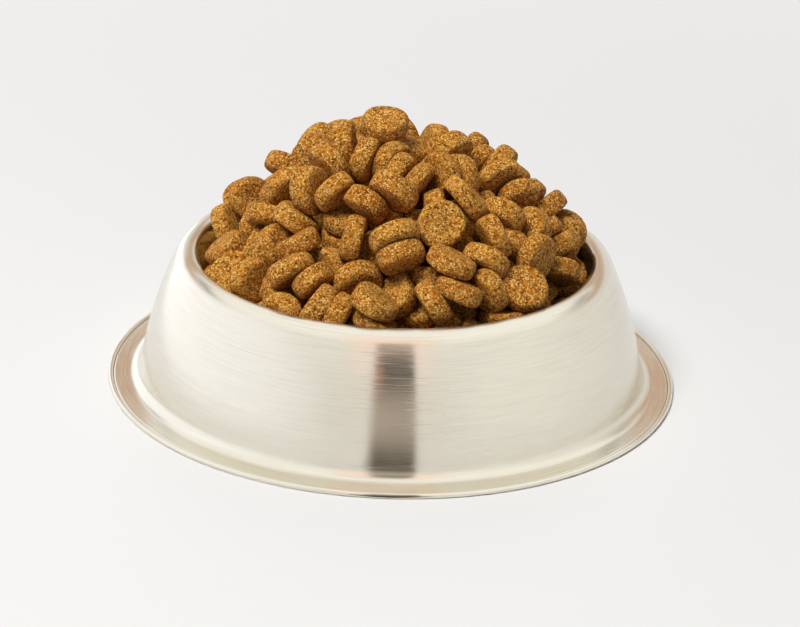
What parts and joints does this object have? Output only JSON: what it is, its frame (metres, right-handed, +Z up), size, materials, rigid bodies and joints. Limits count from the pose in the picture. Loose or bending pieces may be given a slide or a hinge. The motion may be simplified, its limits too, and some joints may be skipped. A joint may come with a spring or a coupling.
{
  "type": "filled pet bowl",
  "caption": "Flared no-tip stainless steel pet bowl, with a rolled rim and a beaded foot flange, heaped with round dry kibble.",
  "frame": {"origin": "centre of the circle that the foot bead stands on, at floor level", "axes": "+Z up along the bowl's axis of revolution; +X and +Y lie across the bowl, and the bowl is the same all round"},
  "size_m": [0.178, 0.178, 0.0861],
  "materials": {
    "bowl": "fine circumferential brushing, bright rolled rim and bead",
    "kibble": "matte baked crumb, golden brown with pale and dark grains"
  },
  "bodies": {
    "root": {"bowl": "bowl", "kibble_bed": "kibble", "kibble_01": "kibble", "kibble_02": "kibble", "kibble_03": "kibble", "kibble_04": "kibble", "kibble_05": "kibble", "kibble_06": "kibble", "kibble_07": "kibble", "kibble_08": "kibble", "kibble_09": "kibble", "kibble_10": "kibble", "kibble_11": "kibble", "kibble_12": "kibble", "kibble_13": "kibble", "kibble_14": "kibble", "kibble_15": "kibble", "kibble_16": "kibble", "kibble_17": "kibble", "kibble_18": "kibble", "kibble_19": "kibble", "kibble_20": "kibble", "kibble_21": "kibble", "kibble_22": "kibble", "kibble_23": "kibble", "kibble_24": "kibble", "kibble_25": "kibble", "kibble_26": "kibble", "kibble_27": "kibble", "kibble_28": "kibble", "kibble_29": "kibble", "kibble_30": "kibble", "kibble_31": "kibble", "kibble_32": "kibble", "kibble_33": "kibble", "kibble_34": "kibble", "kibble_35": "kibble", "kibble_36": "kibble", "kibble_37": "kibble", "kibble_38": "kibble", "kibble_39": "kibble", "kibble_40": "kibble", "kibble_41": "kibble", "kibble_42": "kibble", "kibble_43": "kibble", "kibble_44": "kibble", "kibble_45": "kibble", "kibble_46": "kibble", "kibble_47": "kibble", "kibble_48": "kibble", "kibble_49": "kibble", "kibble_50": "kibble", "kibble_51": "kibble", "kibble_52": "kibble", "kibble_53": "kibble", "kibble_54": "kibble", "kibble_55": "kibble", "kibble_56": "kibble", "kibble_57": "kibble", "kibble_58": "kibble"}
  },
  "joints": []
}
